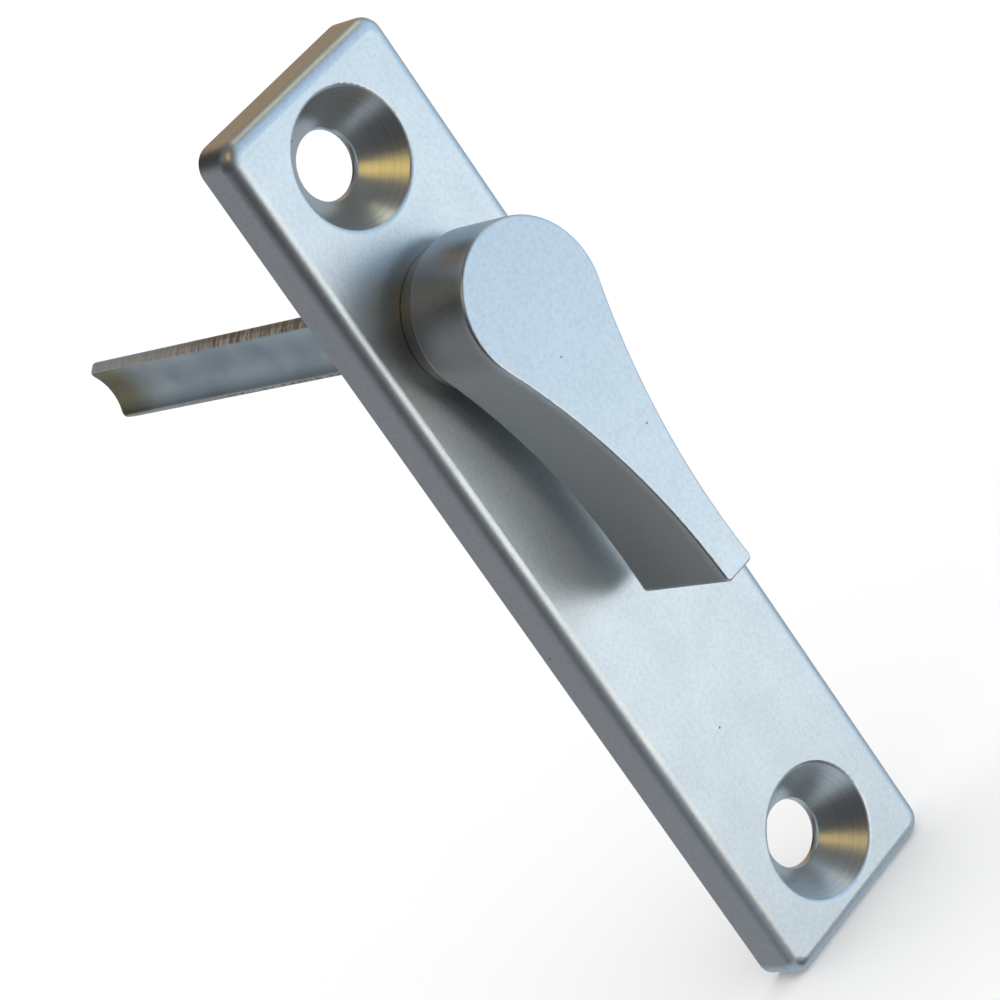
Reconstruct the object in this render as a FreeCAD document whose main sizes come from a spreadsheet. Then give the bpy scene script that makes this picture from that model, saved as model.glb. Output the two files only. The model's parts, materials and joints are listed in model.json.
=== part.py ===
import FreeCAD, Part
import math
import os

import Sketcher

os.makedirs("parts", exist_ok=True)

# A turn on a long face plate, as fitted on the inside of a door to work its deadlock.
# The frame: origin on the turn's axis in the plate's back face, X to the right seen from
# the front, Y to the back, Z up along the plate, with the turn's tip hanging down.
# Everything in front of the door has negative Y. Lengths are in mm, angles in degrees.

SIZES = {
    # face plate
    "plate_length": 65.0,
    "plate_width": 15.0,
    "plate_thickness": 3.0,
    "plate_corner": 1.4,
    "front_round": 0.95,
    "axis_to_top": 17.6,
    # screw holes, for 4 mm countersunk screws, each as far from its end of the plate
    "screw_to_end": 5.85,
    "screw_bore": 4.35,
    "sink_diameter": 8.8,
    "sink_angle": 80.0,
    "sink_edge": 0.3,
    "throat_edge": 0.5,
    # bearing of the turn in the plate
    "bore_diameter": 8.0,
    "running_clearance": 0.05,
    "axial_play": 0.05,
    "recess_diameter": 11.8,
    "recess_depth": 1.5,
    # the turn, measured from the plate's front face and from its own axis
    "turn_angle": 1.2,
    "hub_diameter": 10.2,
    "hub_height": 7.1,
    "face_slope": 6.7,
    "neck_diameter": 9.1,
    "neck_height": 1.65,
    "tip_width": 2.5,
    "tip_reach": 20.65,
    "tip_straight": 1.2,
    "tip_corner": 0.35,
    "turn_edge": 0.18,
    "turn_back_edge": 0.2,
    "turn_back_shallow": 0.07,
    # its spindle, behind the plate
    "spindle_reach": 5.0,
    "spindle_chamfer": 0.4,
    "groove_depth": 0.75,
    # what holds the turn in the plate
    "washer_diameter": 11.0,
    "spring_thickness": 0.3,
    "spring_height": 0.8,
    "washer_thickness": 0.5,
    "clip_diameter": 10.8,
    "clip_thickness": 0.6,
    "clip_play": 0.04,
    "clip_mouth": 5.2,
    "clip_relief": 2.2,
    # tail bar: a strip bent to a half-moon section, a little off centre, pinned in the spindle
    "tail_reach": 35.2,
    "tail_inset": 2.0,
    "tail_height": 4.68,
    "tail_thickness": 0.9,
    "tail_hollow": 3.4,
    "tail_offset": 0.24,
    "tail_end_angle": 7.2,
    "tail_corner": 0.5,
    "tail_edge": 0.22,
    "slot_clearance": 0.05,
    "pin_diameter": 1.5,
    "pin_station": 3.2,
    "pin_recess": 0.15,
    "pin_chamfer": 0.12,
}

# Lengths that several pieces share, as formulas of the sheet.
SCREW_HEIGHT = "(dims.axis_to_top - dims.screw_to_end)"
SCREW_SPACING = "(dims.plate_length - 2 * dims.screw_to_end)"
SINK_DEPTH = "((dims.sink_diameter - dims.screw_bore) / 2 / tan(dims.sink_angle / 2))"
TURN_SEAT = "(dims.plate_thickness + dims.neck_height)"
SPINDLE_RADIUS = "(dims.bore_diameter / 2 - dims.running_clearance)"
GROOVE_RADIUS = f"({SPINDLE_RADIUS} - dims.groove_depth)"
SPRING_FRONT = "(dims.axial_play - dims.recess_depth)"
WASHER_FRONT = f"({SPRING_FRONT} + dims.spring_height)"
CLIP_FRONT = f"({WASHER_FRONT} + dims.washer_thickness)"
TAIL_HALF = "(dims.tail_height / 2)"
TAIL_OUTER = "(dims.tail_hollow + dims.tail_thickness)"
TAIL_BEND = f"asin({TAIL_HALF} / {TAIL_OUTER})"
TAIL_LIP = f"(dims.tail_hollow * cos({TAIL_BEND}))"
TAIL_CENTRE = f"(({TAIL_LIP} + {TAIL_OUTER}) / 2 + dims.tail_offset)"
TAIL_DEPTH = f"({TAIL_OUTER} - {TAIL_LIP})"
WASHER_BORE = "(dims.bore_diameter + 2 * dims.running_clearance)"

doc = FreeCAD.newDocument("deadlock_turn")
sheet = doc.addObject("Spreadsheet::Sheet", "dims")
for row, (alias, number) in enumerate(SIZES.items(), start=1):
    sheet.set(f"A{row}", alias)
    sheet.set(f"B{row}", str(number))
    sheet.setAlias(f"B{row}", alias)
doc.recompute()


def size(formula):
    """The value of a formula of the sheet, as a plain number."""
    return float(sheet.evalExpression(formula))


def add_body(label, on_turn=True):
    """A body of its own. What turns with the turn stands at its angle, clockwise from the front."""
    body = doc.addObject("PartDesign::Body", label)
    body.Label = label
    if on_turn:
        body.Placement.Rotation.Axis = FreeCAD.Vector(0, 1, 0)
        body.setExpression("Placement.Rotation.Angle", "dims.turn_angle")
    return body


def origin_part(body, role):
    return next(part for part in body.Origin.OriginFeatures if part.Role == role)


def add_sketch(body, name, plane, forward="0"):
    """A sketch on one of the body's planes. On XZ, forward moves it to the front."""
    sketch = body.newObject("Sketcher::SketchObject", name)
    sketch.AttachmentSupport = [(origin_part(body, plane), "")]
    sketch.MapMode = "FlatFace"
    sketch.setExpression("AttachmentOffset.Base.z", forward)
    return sketch


def drive(sketch, kind, *where, by):
    """A driving constraint whose value is a formula of the sheet."""
    index = sketch.addConstraint(Sketcher.Constraint(kind, *where, size(by)))
    sketch.setExpression(f"Constraints[{index}]", by)


def place_point(sketch, curve, end, across, up):
    """Ties one point of a curve to its two coordinates, each a formula of the sheet."""
    for kind, axis, formula in (("DistanceX", -2, across), ("DistanceY", -1, up)):
        value = size(formula)
        if abs(value) < 1e-9:
            sketch.addConstraint(Sketcher.Constraint("PointOnObject", curve, end, axis))
        elif value > 0:
            drive(sketch, kind, -1, 1, curve, end, by=formula)
        else:
            drive(sketch, kind, curve, end, -1, 1, by=f"-({formula})")


def add_polygon(sketch, corners):
    """A closed outline of straight lines through corners given as pairs of formulas."""
    points = [FreeCAD.Vector(size(across), size(up), 0) for across, up in corners]
    count = len(points)
    lines = []
    for k in range(count):
        segment = Part.LineSegment(points[k], points[(k + 1) % count])
        lines.append(sketch.addGeometry(segment, False))
    for k in range(count):
        following = lines[(k + 1) % count]
        sketch.addConstraint(Sketcher.Constraint("Coincident", lines[k], 2, following, 1))
    for line, (across, up) in zip(lines, corners):
        place_point(sketch, line, 1, across, up)


def add_circle(sketch, across, up, diameter):
    centre = FreeCAD.Vector(size(across), size(up), 0)
    circle = Part.Circle(centre, FreeCAD.Vector(0, 0, 1), size(diameter) / 2)
    index = sketch.addGeometry(circle, False)
    place_point(sketch, index, 3, across, up)
    drive(sketch, "Diameter", index, by=diameter)


def add_feature(body, kind, name, sketch, length, backward=False, both=False):
    """A pad or pocket. A pad grows along the sketch's normal, a pocket against it."""
    feature = body.newObject(f"PartDesign::{kind}", name)
    feature.Profile = sketch
    feature.Reversed = backward
    feature.Midplane = both
    feature.setExpression("Length", length)
    doc.recompute()
    return feature


def add_turning(body, kind, name, sketch, axis):
    """A revolution or groove about one of the sketch's own axes."""
    feature = body.newObject(f"PartDesign::{kind}", name)
    feature.Profile = sketch
    feature.ReferenceAxis = (sketch, [axis])
    doc.recompute()
    return feature


def edge_names(shape, chosen, shortest):
    """Names of the edges whose every sampled point meets the test."""
    names = []
    for number, edge in enumerate(shape.Edges, start=1):
        if edge.Length > shortest and all(chosen(point) for point in edge.discretize(Number=5)):
            names.append(f"Edge{number}")
    return names


def add_edge_round(body, kind, name, chosen, amount, shortest=0.0):
    """A fillet or chamfer on the edges that meet the test."""
    base = body.Tip
    feature = body.newObject(f"PartDesign::{kind}", name)
    feature.Base = (base, edge_names(base.Shape, chosen, shortest))
    feature.setExpression("Radius" if kind == "Fillet" else "Size", amount)
    doc.recompute()
    return feature


def near(value, target):
    return abs(value - target) < 1e-4


def make_face_plate():
    """Flat bar with a rounded front, two countersunk holes and the bearing of the turn."""
    body = add_body("face_plate", on_turn=False)
    half_width = "dims.plate_width / 2"
    top = "dims.axis_to_top"
    bottom = "dims.axis_to_top - dims.plate_length"
    outline = add_sketch(body, "plate_outline", "XZ_Plane")
    add_polygon(outline, [
        (f"-{half_width}", bottom),
        (half_width, bottom),
        (half_width, top),
        (f"-{half_width}", top),
    ])
    add_feature(body, "Pad", "plate_blank", outline, "dims.plate_thickness")

    edge_x = size(half_width)
    edge_z = (size(bottom), size(top))
    add_edge_round(
        body, "Fillet", "corner_round",
        lambda p: near(abs(p.x), edge_x) and (near(p.z, edge_z[0]) or near(p.z, edge_z[1])),
        "dims.plate_corner")
    face = -size("dims.plate_thickness")
    add_edge_round(body, "Fillet", "front_rounding", lambda p: near(p.y, face), "dims.front_round")

    # One countersunk hole, turned about its own axis, and its copy at the other end.
    profile = add_sketch(body, "screw_profile", "YZ_Plane")
    rim = f"{SCREW_HEIGHT} + dims.sink_diameter / 2"
    throat = f"{SCREW_HEIGHT} + dims.screw_bore / 2"
    add_polygon(profile, [
        ("-dims.plate_thickness - 1", SCREW_HEIGHT),
        ("-dims.plate_thickness - 1", rim),
        ("-dims.plate_thickness", rim),
        (f"-dims.plate_thickness + {SINK_DEPTH}", throat),
        ("1", throat),
        ("1", SCREW_HEIGHT),
    ])
    hole = body.newObject("PartDesign::Groove", "screw_hole")
    hole.Profile = profile
    axis_ends = [FreeCAD.Vector(across, size(SCREW_HEIGHT), 0) for across in (-9, 9)]
    axis_line = profile.addGeometry(Part.LineSegment(*axis_ends), True)
    profile.addConstraint(Sketcher.Constraint("Horizontal", axis_line))
    drive(profile, "DistanceY", -1, 1, axis_line, 1, by=SCREW_HEIGHT)
    hole.ReferenceAxis = (profile, ["Axis0"])
    doc.recompute()
    both_holes = body.newObject("PartDesign::LinearPattern", "both_screw_holes")
    both_holes.Originals = [hole]
    both_holes.Direction = (origin_part(body, "Z_Axis"), [""])
    both_holes.Reversed = True
    both_holes.setExpression("Length", SCREW_SPACING)
    both_holes.Occurrences = 2
    body.Tip = both_holes
    doc.recompute()

    holes = [size(SCREW_HEIGHT), size(f"{SCREW_HEIGHT} - {SCREW_SPACING}")]
    sink_floor = size(f"-dims.plate_thickness + {SINK_DEPTH}")
    for name, level, diameter, amount in (
        ("sink_rims", face, "dims.sink_diameter", "dims.sink_edge"),
        ("sink_throats", sink_floor, "dims.screw_bore", "dims.throat_edge"),
    ):
        radius = size(diameter) / 2
        add_edge_round(
            body, "Fillet", name,
            lambda p: near(p.y, level) and any(near(math.hypot(p.x, p.z - up), radius) for up in holes),
            amount)

    bore = add_sketch(body, "bore_circle", "XZ_Plane")
    add_circle(bore, "0", "0", "dims.bore_diameter")
    add_feature(body, "Pocket", "spindle_bore", bore, "4 * dims.plate_thickness", both=True)
    recess = add_sketch(body, "recess_circle", "XZ_Plane")
    add_circle(recess, "0", "0", "dims.recess_diameter")
    add_feature(body, "Pocket", "back_recess", recess, "dims.recess_depth", backward=True)
    return body


def draw_turn_outline(sketch):
    """Teardrop: the hub's arc runs into two hollow flanks, which end in a square tip."""
    hub = size("dims.hub_diameter / 2")
    tip = size("dims.tip_width / 2")
    reach = size("dims.tip_reach")
    corner = size("dims.tip_corner")
    flank_end = -size("dims.tip_reach - dims.tip_straight")
    # The flank is upright where it meets the tip and tangent to the hub above.
    flank = (flank_end ** 2 + tip ** 2 - hub ** 2) / (2 * (hub - tip))
    centre = FreeCAD.Vector(tip + flank, flank_end, 0)
    meeting = centre * (hub / centre.Length)
    normal = FreeCAD.Vector(0, 0, 1)

    def vector(across, up):
        return FreeCAD.Vector(across, up, 0)

    def arc(middle, radius, start, end):
        circle = Part.Circle(middle, normal, radius)
        parameters = [circle.parameter(point) for point in (start, end)]
        return sketch.addGeometry(Part.ArcOfCircle(circle, *parameters), False)

    def line(start, end):
        return sketch.addGeometry(Part.LineSegment(start, end), False)

    def mirrored(point):
        return vector(-point.x, point.y)

    # All arcs run anticlockwise about their own centres.
    top = arc(vector(0, 0), hub, meeting, mirrored(meeting))
    left_flank = arc(mirrored(centre), flank, vector(-tip, flank_end), mirrored(meeting))
    left_side = line(vector(-tip, flank_end), vector(-tip, corner - reach))
    left_corner = arc(vector(corner - tip, corner - reach), corner,
                      vector(-tip, corner - reach), vector(corner - tip, -reach))
    end = line(vector(corner - tip, -reach), vector(tip - corner, -reach))
    right_corner = arc(vector(tip - corner, corner - reach), corner,
                       vector(tip - corner, -reach), vector(tip, corner - reach))
    right_side = line(vector(tip, corner - reach), vector(tip, flank_end))
    right_flank = arc(centre, flank, meeting, vector(tip, flank_end))

    for first, first_end, second, second_end in (
        (top, 2, left_flank, 2),
        (left_flank, 1, left_side, 1),
        (left_side, 2, left_corner, 1),
        (left_corner, 2, end, 1),
        (end, 2, right_corner, 1),
        (right_corner, 2, right_side, 1),
        (right_side, 2, right_flank, 2),
        (right_flank, 1, top, 1),
    ):
        sketch.addConstraint(Sketcher.Constraint("Tangent", first, first_end, second, second_end))
    sketch.addConstraint(Sketcher.Constraint("Coincident", top, 3, -1, 1))
    drive(sketch, "Radius", top, by="dims.hub_diameter / 2")
    sketch.addConstraint(Sketcher.Constraint("Vertical", left_side))
    sketch.addConstraint(Sketcher.Constraint("Vertical", right_side))
    drive(sketch, "DistanceX", left_side, 1, -1, 1, by="dims.tip_width / 2")
    drive(sketch, "DistanceX", -1, 1, right_side, 2, by="dims.tip_width / 2")
    drive(sketch, "DistanceY", left_side, 1, -1, 1, by="dims.tip_reach - dims.tip_straight")
    drive(sketch, "DistanceY", right_side, 2, -1, 1, by="dims.tip_reach - dims.tip_straight")
    drive(sketch, "DistanceY", end, 1, -1, 1, by="dims.tip_reach")
    drive(sketch, "Radius", left_corner, by="dims.tip_corner")
    drive(sketch, "Radius", right_corner, by="dims.tip_corner")


def make_thumb_turn():
    """One casting: the turn itself with the spindle that passes through the plate."""
    body = add_body("thumb_turn")
    outline = add_sketch(body, "turn_outline", "XZ_Plane", TURN_SEAT)
    draw_turn_outline(outline)
    tallest = "(dims.hub_height + (dims.tip_reach + 1) * tan(dims.face_slope))"
    add_feature(body, "Pad", "turn_blank", outline, f"{tallest} + dims.plate_thickness - {TURN_SEAT}")

    # The front face rises from the hub towards the tip.
    slope = add_sketch(body, "face_cut_side", "YZ_Plane")
    above = "dims.hub_diameter"
    below = "-(dims.tip_reach + 2)"
    face = "-(dims.plate_thickness + dims.hub_height) + {} * tan(dims.face_slope)"
    clear = f"-(dims.plate_thickness + {tallest} + 2)"
    add_polygon(slope, [
        (face.format(f"({above})"), above),
        (face.format(f"({below})"), below),
        (clear, below),
        (clear, above),
    ])
    add_feature(body, "Pocket", "sloping_face", slope, "2 * dims.hub_diameter", both=True)

    add_edge_round(
        body, "Fillet", "front_edges",
        lambda p: near(p.y, size(face.format(f"({p.z})"))),
        "dims.turn_edge")
    # The back edge is broken by a chamfer that is long on the sides and shallow on the back.
    seat = -size(TURN_SEAT)
    back = add_edge_round(
        body, "Chamfer", "back_edges", lambda p: near(p.y, seat), "dims.turn_back_edge")
    back.ChamferType = "Two distances"
    back.setExpression("Size2", "dims.turn_back_shallow")
    doc.recompute()

    # Neck that stands on the plate, then the spindle with the clip's groove.
    profile = add_sketch(body, "spindle_profile", "YZ_Plane")
    front = f"-{TURN_SEAT}"
    shoulder = "-(dims.plate_thickness + dims.axial_play)"
    groove_back = f"{CLIP_FRONT} + dims.clip_thickness + dims.clip_play"
    add_polygon(profile, [
        (front, "0"),
        (front, "dims.neck_diameter / 2"),
        (shoulder, "dims.neck_diameter / 2"),
        (shoulder, SPINDLE_RADIUS),
        (CLIP_FRONT, SPINDLE_RADIUS),
        (CLIP_FRONT, GROOVE_RADIUS),
        (groove_back, GROOVE_RADIUS),
        (groove_back, SPINDLE_RADIUS),
        ("dims.spindle_reach - dims.spindle_chamfer", SPINDLE_RADIUS),
        ("dims.spindle_reach", f"{SPINDLE_RADIUS} - dims.spindle_chamfer"),
        ("dims.spindle_reach", "0"),
    ])
    add_turning(body, "Revolution", "spindle", profile, "H_Axis")

    # Slot for the tail bar, which reaches its floor.
    mouth = add_sketch(body, "slot_mouth", "XZ_Plane", "-dims.spindle_reach")
    half_gap = f"({TAIL_DEPTH} / 2 + dims.slot_clearance)"
    half_rise = f"({TAIL_HALF} + dims.slot_clearance)"
    left = f"-dims.tail_offset - {half_gap}"
    right = f"-dims.tail_offset + {half_gap}"
    add_polygon(mouth, [
        (left, f"-{half_rise}"),
        (right, f"-{half_rise}"),
        (right, half_rise),
        (left, half_rise),
    ])
    depth = "dims.spindle_reach + dims.tail_inset"
    add_feature(body, "Pocket", "tail_slot", mouth, depth, backward=True)
    cross = add_sketch(body, "pin_circle", "YZ_Plane")
    add_circle(cross, "dims.pin_station", "0", "dims.pin_diameter")
    add_feature(body, "Pocket", "pin_hole", cross, "2 * dims.bore_diameter", both=True)
    return body


def make_spring_washer():
    """Bowed washer that takes up the play and gives the turn its drag."""
    body = add_body("spring_washer")
    rise = "(dims.spring_height - dims.spring_thickness)"
    rear = f"(((dims.washer_diameter / 2) ^ 2 + {rise} ^ 2) / (2 * {rise}))"
    centre = f"{SPRING_FRONT} + dims.spring_thickness + {rear}"
    reach = "(dims.washer_diameter / 2 + 0.5)"
    side = add_sketch(body, "bow_side", "YZ_Plane")
    middle = FreeCAD.Vector(size(centre), 0, 0)
    arcs = []
    for bend in (rear, f"({rear} + dims.spring_thickness)"):
        half_turn = math.asin(size(reach) / size(bend))
        circle = Part.Circle(middle, FreeCAD.Vector(0, 0, 1), size(bend))
        arc = side.addGeometry(Part.ArcOfCircle(circle, math.pi - half_turn, math.pi + half_turn), False)
        place_point(side, arc, 3, centre, "0")
        drive(side, "Radius", arc, by=bend)
        drive(side, "DistanceY", -1, 1, arc, 1, by=reach)
        drive(side, "DistanceY", arc, 2, -1, 1, by=reach)
        arcs.append(arc)
    rear_arc, front_arc = arcs
    for end in (1, 2):
        cap = side.addGeometry(
            Part.LineSegment(side.getPoint(rear_arc, end), side.getPoint(front_arc, end)), False)
        side.addConstraint(Sketcher.Constraint("Coincident", rear_arc, end, cap, 1))
        side.addConstraint(Sketcher.Constraint("Coincident", front_arc, end, cap, 2))
    add_feature(body, "Pad", "bowed_strip", side, "dims.washer_diameter + 1", both=True)

    # Everything outside the rim and inside the bore is punched away.
    blank = add_sketch(body, "punch_face", "XZ_Plane")
    add_polygon(blank, [
        (f"-{reach} - 1", f"-{reach} - 1"),
        (f"{reach} + 1", f"-{reach} - 1"),
        (f"{reach} + 1", f"{reach} + 1"),
        (f"-{reach} - 1", f"{reach} + 1"),
    ])
    add_circle(blank, "0", "0", "dims.washer_diameter")
    add_circle(blank, "0", "0", WASHER_BORE)
    add_feature(body, "Pocket", "punched_ring", blank, "4 * dims.plate_thickness", both=True)
    return body


def make_backing_washer():
    """Flat washer between the spring washer and the clip."""
    body = add_body("backing_washer")
    face = add_sketch(body, "washer_face", "XZ_Plane", f"-{WASHER_FRONT}")
    add_circle(face, "0", "0", "dims.washer_diameter")
    add_circle(face, "0", "0", WASHER_BORE)
    add_feature(body, "Pad", "washer_disc", face, "dims.washer_thickness", backward=True)
    return body


def make_retaining_clip():
    """Open clip snapped into the spindle's groove, its mouth to one side."""
    body = add_body("retaining_clip")
    face = add_sketch(body, "clip_face", "XZ_Plane", f"-({CLIP_FRONT} + dims.clip_play / 2)")
    add_circle(face, "0", "0", "dims.clip_diameter")
    add_feature(body, "Pad", "clip_disc", face, "dims.clip_thickness", backward=True)
    through = "4 * dims.plate_thickness"
    bore = add_sketch(body, "clip_bore_circle", "XZ_Plane")
    add_circle(bore, "0", "0", f"2 * {GROOVE_RADIUS}")
    add_feature(body, "Pocket", "clip_bore", bore, through, both=True)
    mouth = add_sketch(body, "clip_mouth_face", "XZ_Plane")
    add_polygon(mouth, [
        ("0", "-dims.clip_mouth / 2"),
        ("dims.clip_diameter", "-dims.clip_mouth / 2"),
        ("dims.clip_diameter", "dims.clip_mouth / 2"),
        ("0", "dims.clip_mouth / 2"),
    ])
    add_feature(body, "Pocket", "clip_opening", mouth, through, both=True)
    for name, side in (("upper_relief", ""), ("lower_relief", "-")):
        relief = add_sketch(body, f"{name}_circle", "XZ_Plane")
        across, up = f"-{GROOVE_RADIUS} / 2", f"{side}{GROOVE_RADIUS} * sqrt(3) / 2"
        add_circle(relief, across, up, "dims.clip_relief")
        add_feature(body, "Pocket", name, relief, through, both=True)
    return body


def make_tail_pin():
    """Cross pin that holds the tail bar in the spindle."""
    body = add_body("tail_pin")
    half = f"({SPINDLE_RADIUS} - dims.pin_recess)"
    radius = "dims.pin_diameter / 2"
    profile = add_sketch(body, "pin_profile", "XZ_Plane", "-dims.pin_station")
    add_polygon(profile, [
        (f"-{half}", "0"),
        (half, "0"),
        (half, f"{radius} - dims.pin_chamfer"),
        (f"{half} - dims.pin_chamfer", radius),
        (f"-{half} + dims.pin_chamfer", radius),
        (f"-{half}", f"{radius} - dims.pin_chamfer"),
    ])
    add_turning(body, "Revolution", "pin_rod", profile, "H_Axis")
    return body


def make_tail_bar():
    """Bent strip of half-moon section, hollow to the left, sheared along its two long edges."""
    body = add_body("tail_bar")
    section = add_sketch(body, "tail_section", "XZ_Plane", "dims.tail_inset")
    middle = FreeCAD.Vector(-size(TAIL_CENTRE), 0, 0)
    half = size(TAIL_HALF)
    half_turn = math.asin(half / size(TAIL_OUTER))
    arcs = []
    for bend in ("dims.tail_hollow", TAIL_OUTER):
        circle = Part.Circle(middle, FreeCAD.Vector(0, 0, 1), size(bend))
        arc = section.addGeometry(Part.ArcOfCircle(circle, -half_turn, half_turn), False)
        place_point(section, arc, 3, f"-{TAIL_CENTRE}", "0")
        drive(section, "Radius", arc, by=bend)
        arcs.append(arc)
    inner_arc, outer_arc = arcs
    # The strip was sheared square before it was bent, so its long edges point at the arcs' centre.
    for end, heading in ((1, (outer_arc, 1, -1, 1)), (2, (-1, 1, outer_arc, 2))):
        edge = section.addGeometry(
            Part.LineSegment(section.getPoint(inner_arc, end), section.getPoint(outer_arc, end)), False)
        section.addConstraint(Sketcher.Constraint("Coincident", inner_arc, end, edge, 1))
        section.addConstraint(Sketcher.Constraint("Coincident", outer_arc, end, edge, 2))
        section.addConstraint(Sketcher.Constraint("PointOnObject", inner_arc, 3, edge))
        drive(section, "DistanceY", *heading, by=TAIL_HALF)
    blank = "dims.tail_inset + dims.tail_reach + dims.tail_height"
    add_feature(body, "Pad", "tail_strip", section, blank, backward=True)

    # The far end is sheared a little off square, so that its upper corner stands further out.
    shear = add_sketch(body, "end_shear", "YZ_Plane")
    end = "dims.tail_reach + {} * tan(dims.tail_end_angle)"
    beyond = "dims.tail_reach + 2 * dims.tail_height"
    add_polygon(shear, [
        (end.format("-dims.tail_height"), "-dims.tail_height"),
        (beyond, "-dims.tail_height"),
        (beyond, "dims.tail_height"),
        (end.format("dims.tail_height"), "dims.tail_height"),
    ])
    add_feature(body, "Pocket", "sheared_end", shear, "4 * dims.tail_hollow", both=True)

    def on_long_edge(point):
        return near(math.atan2(abs(point.z), point.x - middle.x), half_turn)

    add_edge_round(
        body, "Fillet", "end_corners",
        lambda p: near(p.y, size(end.format(f"({p.z})"))) and on_long_edge(p),
        "dims.tail_corner")
    add_edge_round(
        body, "Fillet", "strip_edges", on_long_edge, "dims.tail_edge", shortest=2 * half)

    eye = add_sketch(body, "eye_circle", "YZ_Plane")
    add_circle(eye, "dims.pin_station", "0", "dims.pin_diameter")
    add_feature(body, "Pocket", "pin_eye", eye, "2 * dims.bore_diameter", both=True)
    return body


def export_all(bodies):
    doc.recompute()
    broken = [item.Name for item in doc.Objects if set(item.State) & {"Invalid", "Error"}]
    if broken:
        raise RuntimeError(f"failed objects: {broken}")
    for body in bodies:
        shape = body.Shape
        if shape.isNull() or not shape.isValid() or not shape.Solids:
            raise RuntimeError(f"{body.Label} has no sound solid")
        shape.exportStep(f"parts/{body.Label}.step")
        box = shape.BoundBox
        sides = f"{box.XLength:.2f} x {box.YLength:.2f} x {box.ZLength:.2f}"
        print(f"{body.Label}: {shape.Volume:.1f} mm3, {sides}")


export_all([
    make_face_plate(),
    make_thumb_turn(),
    make_spring_washer(),
    make_backing_washer(),
    make_retaining_clip(),
    make_tail_pin(),
    make_tail_bar(),
])
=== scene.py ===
# %% [markdown]
# # A thumb turn for a deadlock, dressed in satin chrome
#
# The part is the inside furniture of a deadlock: a long face plate, a teardrop turn on
# it, and a strip of steel behind it that works the lock. All of its shapes come from the
# CAD frame, so this lesson is about finish and light. Satin chrome is an odd thing to
# render: it has hardly any colour of its own and shows its surroundings, softened.

# %% Load the CAD frame
import json
import math

import bpy
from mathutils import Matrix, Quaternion, Vector


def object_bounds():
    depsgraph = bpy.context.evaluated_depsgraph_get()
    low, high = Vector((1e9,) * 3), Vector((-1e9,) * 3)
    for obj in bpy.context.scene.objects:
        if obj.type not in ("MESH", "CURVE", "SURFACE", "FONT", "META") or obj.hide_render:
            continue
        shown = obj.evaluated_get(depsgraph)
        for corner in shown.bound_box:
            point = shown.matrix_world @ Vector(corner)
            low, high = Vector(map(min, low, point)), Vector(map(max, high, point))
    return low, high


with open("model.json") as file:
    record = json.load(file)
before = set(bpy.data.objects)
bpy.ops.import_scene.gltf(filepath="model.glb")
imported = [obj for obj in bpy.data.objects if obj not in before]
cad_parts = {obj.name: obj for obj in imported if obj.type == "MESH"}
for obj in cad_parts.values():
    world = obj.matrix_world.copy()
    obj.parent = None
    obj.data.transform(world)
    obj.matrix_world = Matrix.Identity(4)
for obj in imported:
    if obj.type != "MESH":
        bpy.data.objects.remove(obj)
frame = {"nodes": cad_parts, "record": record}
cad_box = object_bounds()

MM = 0.001
nodes = frame["nodes"]
low, high = cad_box
print("pieces:", ", ".join(sorted(nodes)))
print("size in mm:", [round(side / MM, 2) for side in high - low])

# %% [markdown]
# ## The camera
#
# A camera is fixed by where it stands, what it aims at, how it is rolled and how long
# its lens is. The part was photographed from its upper left with a long lens, and the
# camera was rolled, which lays the plate along the picture's diagonal. Three Euler angles
# would mix these facts up. Aiming with a quaternion and then turning about the view's own
# axis keeps them apart.

# %% Stand the camera where the photographer stood
CAMERA_AT = Vector((-138.07, -200.31, 74.18)) * MM
CAMERA_AIM = Vector((-5.375, -3.0, -10.005)) * MM
CAMERA_ROLL = math.radians(-35.05)
SENSOR_MM = 36.0
LENS_MM = 151.29
NEAREST_MM = 10
FARTHEST_MM = 10_000

scene = bpy.context.scene
camera = bpy.data.objects.new("camera", bpy.data.cameras.new("camera"))
scene.collection.objects.link(camera)
camera.data.sensor_width = SENSOR_MM
camera.data.lens = LENS_MM
camera.data.clip_start = NEAREST_MM * MM
camera.data.clip_end = FARTHEST_MM * MM
camera.location = CAMERA_AT
camera.rotation_mode = "QUATERNION"
level = (CAMERA_AIM - CAMERA_AT).to_track_quat("-Z", "Y")
camera.rotation_quaternion = level @ Quaternion((0, 0, 1), CAMERA_ROLL)
scene.camera = camera
print("camera to part in mm:", round((CAMERA_AIM - CAMERA_AT).length / MM))

# %% [markdown]
# ## A helper for colours
#
# Colours are picked on a screen, so they are written as sRGB hex values, but Blender
# calculates in linear light. Picked numbers put straight into a socket come out too
# pale, so one function turns the first kind into the second.

# %% From a picked colour to a linear one
def linear(hex_colour):
    """The linear RGBA of an sRGB colour such as "#C0FFEE"."""
    channels = []
    for start in (1, 3, 5):
        value = int(hex_colour[start:start + 2], 16) / 255
        channels.append(value / 12.92 if value <= 0.04045 else ((value + 0.055) / 1.055) ** 2.4)
    return (*channels, 1.0)


print("screen grey #808080 is", round(linear("#808080")[0], 3), "in linear light")

# %% [markdown]
# ## A helper for nodes
#
# A material is a small graph. Written out, each of its nodes takes several lines: make
# it, set it, link it. This helper does all three in one, so that a material reads as a
# recipe.

# %% Add a shader node, set it and link it
def add_node(tree, kind, settings=None, links=None):
    """A new node. Settings name its properties or sockets, links its sockets' sources."""
    node = tree.nodes.new(kind)
    for name, value in (settings or {}).items():
        if isinstance(name, str) and hasattr(node, name):
            setattr(node, name, value)
        else:
            node.inputs[name].default_value = value
    for name, source in (links or {}).items():
        tree.links.new(source, node.inputs[name])
    return node


kinds = [kind for kind in dir(bpy.types) if kind.startswith("ShaderNode")]
print("kinds of shader node to choose from:", len(kinds))

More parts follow.
